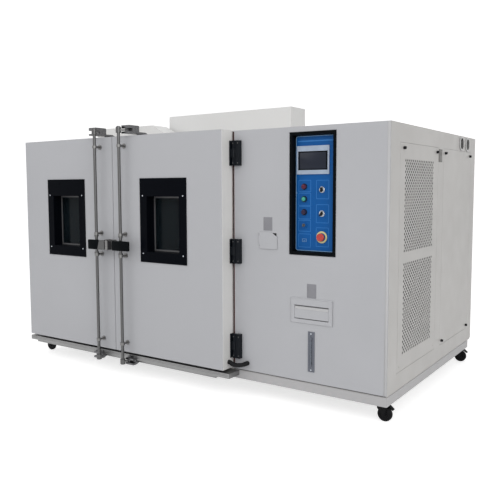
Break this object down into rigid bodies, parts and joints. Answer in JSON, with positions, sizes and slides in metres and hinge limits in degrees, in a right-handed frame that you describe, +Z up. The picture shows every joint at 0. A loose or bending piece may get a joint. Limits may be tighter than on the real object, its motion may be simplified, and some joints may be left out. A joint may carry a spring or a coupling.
{
  "type": "walk-in environmental test chamber",
  "caption": "Walk-in environmental test chamber with windowed double doors, lever lock rods, a machine compartment with a control panel on its right, and a base frame on casters.",
  "frame": {"origin": "on the floor, under the middle of the object's bounding box", "axes": "+X to the right as seen from the doors, +Y to the back, +Z up"},
  "size_m": [3.515, 2.2414, 2.24],
  "materials": {
    "frame_paint": "satin light grey paint",
    "sill_steel": "brushed stainless steel",
    "panel_paint": "satin warm grey paint",
    "stainless": "fine brushed stainless steel",
    "keeper_steel": "worn dark steel",
    "hinge_black": "black satin paint",
    "fin_metal": "bare sheet metal",
    "roof_paint": "satin off-white paint",
    "side_paint": "satin warm grey paint",
    "front_paint": "satin cool grey paint",
    "black_plastic": "matte black",
    "black_metal": "satin black paint",
    "blue_paint": "satin blue print",
    "silver_plastic": "silver plastic",
    "gauge_paint": "satin grey blue paint",
    "black_rubber": "matte black rubber",
    "red_rubber": "red-brown silicone rubber",
    "black_gloss": "glossy black",
    "window_glass": "dark multi-layer glass",
    "rod_steel": "dark steel",
    "red_plastic": "glossy red",
    "green_plastic": "glossy green",
    "chrome_trim": "polished metal",
    "caster_steel": "zinc-plated steel",
    "caster_tyre": "black tyre"
  },
  "bodies": {
    "chamber": {"base_frame": "frame_paint", "door_sill": "sill_steel", "chamber_panels": "panel_paint", "chamber_liner": "stainless", "lock_keepers": "keeper_steel", "hinge_blocks": "hinge_black", "air_baffle": "stainless", "evaporator_coil": "fin_metal", "roof_covers": "roof_paint", "machine_frame": "side_paint", "machine_front": "front_paint", "vent_panel": "side_paint", "service_panel": "side_paint", "machine_covers": "side_paint", "side_ports": "stainless", "panel_knobs": "black_plastic", "control_frame": "black_metal", "control_plate": "blue_paint", "touch_screen": "silver_plastic", "tray_frame": "front_paint", "level_gauge": "gauge_paint", "compressors": "black_metal", "condenser": "fin_metal", "door_conduit": "black_rubber"},
    "left_door": {"left_door_leaf": "front_paint", "left_window_bezel": "black_gloss", "left_window_pane": "window_glass", "left_door_gasket": "red_rubber", "left_door_fittings": "keeper_steel"},
    "right_door": {"right_door_leaf": "front_paint", "right_window_bezel": "black_gloss", "right_window_pane": "window_glass", "right_door_gasket": "red_rubber", "right_door_fittings": "keeper_steel"},
    "left_lock": {"left_lock": "rod_steel"},
    "right_lock": {"right_lock": "rod_steel"},
    "red_button": {"red_button": "red_plastic"},
    "green_button": {"green_button": "green_plastic"},
    "dark_button": {"dark_button": "black_plastic"},
    "key_switch": {"key_switch": "chrome_trim"},
    "upper_selector": {"upper_selector": "black_plastic"},
    "lower_selector": {"lower_selector": "black_plastic"},
    "emergency_stop": {"emergency_stop": "red_plastic"},
    "water_tray": {"water_tray": "front_paint"},
    "socket_hatch": {"socket_hatch": "front_paint"},
    "circulation_fan_1": {"circulation_fan_1": "fin_metal"},
    "circulation_fan_2": {"circulation_fan_2": "fin_metal"},
    "condenser_fan": {"condenser_fan": "black_plastic"},
    "caster_fork_1": {"caster_fork_1": "caster_steel"},
    "caster_fork_2": {"caster_fork_2": "caster_steel"},
    "caster_fork_3": {"caster_fork_3": "caster_steel"},
    "caster_fork_4": {"caster_fork_4": "caster_steel"},
    "caster_wheel_1": {"caster_wheel_1": "caster_tyre"},
    "caster_wheel_2": {"caster_wheel_2": "caster_tyre"},
    "caster_wheel_3": {"caster_wheel_3": "caster_tyre"},
    "caster_wheel_4": {"caster_wheel_4": "caster_tyre"},
    "caster_pedal_1": {"caster_pedal_1": "black_metal"},
    "caster_pedal_2": {"caster_pedal_2": "black_metal"},
    "caster_pedal_3": {"caster_pedal_3": "black_metal"},
    "caster_pedal_4": {"caster_pedal_4": "black_metal"}
  },
  "joints": [
    {"name": "left_door_hinge", "type": "hinge", "parent": "chamber", "child": "left_door", "pos_m": [-1.7255, -0.88325, 1.09], "axis": [0, 0, -1], "range_deg": [0, 100]},
    {"name": "right_door_hinge", "type": "hinge", "parent": "chamber", "child": "right_door", "pos_m": [0.5495, -0.90525, 1.09], "axis": [0, 0, 1], "range_deg": [0, 100], "deforming": ["door_conduit"]},
    {"name": "left_lock_turn", "type": "hinge", "parent": "left_door", "child": "left_lock", "pos_m": [-0.73, -1.07725, 1.096], "axis": [0, 0, -1], "range_deg": [0, 90]},
    {"name": "right_lock_turn", "type": "hinge", "parent": "right_door", "child": "right_lock", "pos_m": [-0.452, -1.07725, 1.096], "axis": [0, 0, -1], "range_deg": [0, 90]},
    {"name": "red_button_press", "type": "slide", "parent": "chamber", "child": "red_button", "axis": [0, 1, 0], "range_m": [0, 0.004], "stiffness_N_per_m": 1000},
    {"name": "green_button_press", "type": "slide", "parent": "chamber", "child": "green_button", "axis": [0, 1, 0], "range_m": [0, 0.004], "stiffness_N_per_m": 1000},
    {"name": "dark_button_press", "type": "slide", "parent": "chamber", "child": "dark_button", "axis": [0, 1, 0], "range_m": [0, 0.004], "stiffness_N_per_m": 1000},
    {"name": "emergency_stop_press", "type": "slide", "parent": "chamber", "child": "emergency_stop", "axis": [0, 1, 0], "range_m": [0, 0.006], "stiffness_N_per_m": 2000},
    {"name": "key_switch_turn", "type": "hinge", "parent": "chamber", "child": "key_switch", "pos_m": [1.1015, -0.83725, 1.297], "axis": [0, 1, 0], "range_deg": [0, 90]},
    {"name": "upper_selector_turn", "type": "hinge", "parent": "chamber", "child": "upper_selector", "pos_m": [1.2385, -0.83725, 1.544], "axis": [0, 1, 0], "range_deg": [-45, 45]},
    {"name": "lower_selector_turn", "type": "hinge", "parent": "chamber", "child": "lower_selector", "pos_m": [1.2385, -0.83725, 1.38], "axis": [0, 1, 0], "range_deg": [-45, 45]},
    {"name": "water_tray_tilt", "type": "hinge", "parent": "chamber", "child": "water_tray", "pos_m": [1.1845, -0.86925, 0.65], "axis": [1, 0, 0], "range_deg": [0, 35]},
    {"name": "socket_hatch_swing", "type": "hinge", "parent": "chamber", "child": "socket_hatch", "pos_m": [0.7549, -0.88375, 1.181], "axis": [0, 0, -1], "range_deg": [0, 110]},
    {"name": "circulation_fan_1_spin", "type": "hinge", "parent": "chamber", "child": "circulation_fan_1", "pos_m": [-0.5105, 0.10075, 1.78], "axis": [0, 0, 1], "continuous": true},
    {"name": "circulation_fan_2_spin", "type": "hinge", "parent": "chamber", "child": "circulation_fan_2", "pos_m": [-0.0405, 0.10075, 1.78], "axis": [0, 0, 1], "continuous": true},
    {"name": "condenser_fan_spin", "type": "hinge", "parent": "chamber", "child": "condenser_fan", "pos_m": [1.5195, -0.31175, 0.8], "axis": [1, 0, 0], "continuous": true},
    {"name": "caster_swivel_1", "type": "hinge", "parent": "chamber", "child": "caster_fork_1", "pos_m": [1.6595, -0.78925, 0.11], "axis": [0, 0, 1], "continuous": true},
    {"name": "caster_roll_1", "type": "hinge", "parent": "caster_fork_1", "child": "caster_wheel_1", "pos_m": [1.6945, -0.78925, 0.05], "axis": [0, 1, 0], "continuous": true},
    {"name": "caster_brake_1", "type": "hinge", "parent": "caster_fork_1", "child": "caster_pedal_1", "pos_m": [1.6985, -0.78925, 0.11], "axis": [0, -1, 0], "range_deg": [0, 12]},
    {"name": "caster_swivel_2", "type": "hinge", "parent": "chamber", "child": "caster_fork_2", "pos_m": [1.6595, 0.99075, 0.11], "axis": [0, 0, 1], "continuous": true},
    {"name": "caster_roll_2", "type": "hinge", "parent": "caster_fork_2", "child": "caster_wheel_2", "pos_m": [1.6945, 0.99075, 0.05], "axis": [0, 1, 0], "continuous": true},
    {"name": "caster_brake_2", "type": "hinge", "parent": "caster_fork_2", "child": "caster_pedal_2", "pos_m": [1.6985, 0.99075, 0.11], "axis": [0, -1, 0], "range_deg": [0, 12]},
    {"name": "caster_swivel_3", "type": "hinge", "parent": "chamber", "child": "caster_fork_3", "pos_m": [-1.6615, -0.78925, 0.11], "axis": [0, 0, 1], "continuous": true},
    {"name": "caster_roll_3", "type": "hinge", "parent": "caster_fork_3", "child": "caster_wheel_3", "pos_m": [-1.6965, -0.78925, 0.05], "axis": [0, 1, 0], "continuous": true},
    {"name": "caster_brake_3", "type": "hinge", "parent": "caster_fork_3", "child": "caster_pedal_3", "pos_m": [-1.7005, -0.78925, 0.11], "axis": [0, 1, 0], "range_deg": [0, 12]},
    {"name": "caster_swivel_4", "type": "hinge", "parent": "chamber", "child": "caster_fork_4", "pos_m": [-1.6615, 0.99075, 0.11], "axis": [0, 0, 1], "continuous": true},
    {"name": "caster_roll_4", "type": "hinge", "parent": "caster_fork_4", "child": "caster_wheel_4", "pos_m": [-1.6965, 0.99075, 0.05], "axis": [0, 1, 0], "continuous": true},
    {"name": "caster_brake_4", "type": "hinge", "parent": "caster_fork_4", "child": "caster_pedal_4", "pos_m": [-1.7005, 0.99075, 0.11], "axis": [0, 1, 0], "range_deg": [0, 12]}
  ]
}
